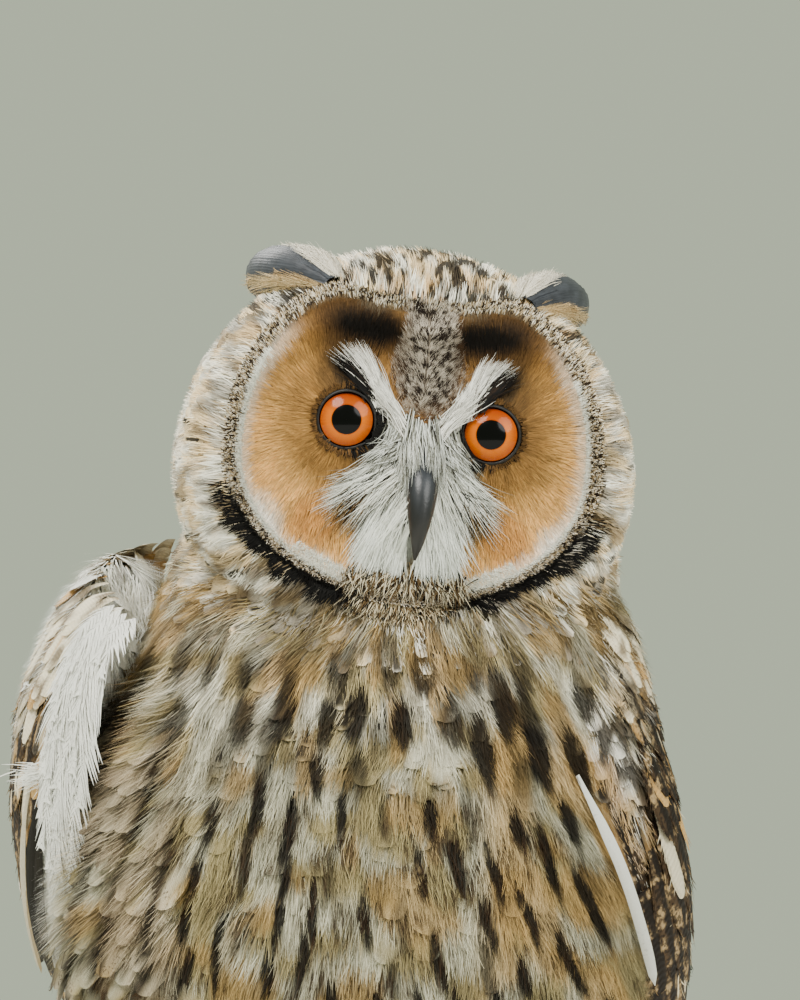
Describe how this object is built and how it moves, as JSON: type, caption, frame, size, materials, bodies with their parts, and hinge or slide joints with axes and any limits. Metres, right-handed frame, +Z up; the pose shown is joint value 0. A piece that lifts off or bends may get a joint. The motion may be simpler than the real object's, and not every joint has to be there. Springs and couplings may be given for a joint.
{
  "type": "long-eared owl",
  "caption": "Life-size long-eared owl standing with folded wings, ear tufts laid back and its face turned to the viewer.",
  "frame": {"origin": "on the ground, under the middle of the bird's bounding box", "axes": "+Z up, the owl faces -Y, its left side is towards +X"},
  "size_m": [0.1834, 0.2454, 0.3394],
  "materials": {
    "plumage": "soft feathered, matt",
    "face_feathers": "fine radial feathers, matt",
    "flight_feathers": "smooth vanes, matt",
    "tuft_feathers": "smooth vanes, matt",
    "leg_feathers": "short down, matt",
    "eye": "wet gloss",
    "eyelid": "leathery, matt",
    "bill": "horn, satin",
    "claw": "horn, satin gloss"
  },
  "bodies": {
    "root": {"head": "face_feathers", "neck": "plumage", "torso": "plumage", "tail": "flight_feathers", "wing_left": "flight_feathers", "ear_tuft_left": "tuft_feathers", "eye_left": "eye", "eyelids_left": "eyelid", "leg_left": "leg_feathers", "foot_left": "leg_feathers", "claw_left_inner": "claw", "claw_left_middle": "claw", "claw_left_outer": "claw", "claw_left_hind": "claw", "wing_right": "flight_feathers", "ear_tuft_right": "tuft_feathers", "eye_right": "eye", "eyelids_right": "eyelid", "leg_right": "leg_feathers", "foot_right": "leg_feathers", "claw_right_inner": "claw", "claw_right_middle": "claw", "claw_right_outer": "claw", "claw_right_hind": "claw", "bill_upper": "bill", "bill_lower": "bill"}
  },
  "joints": []
}
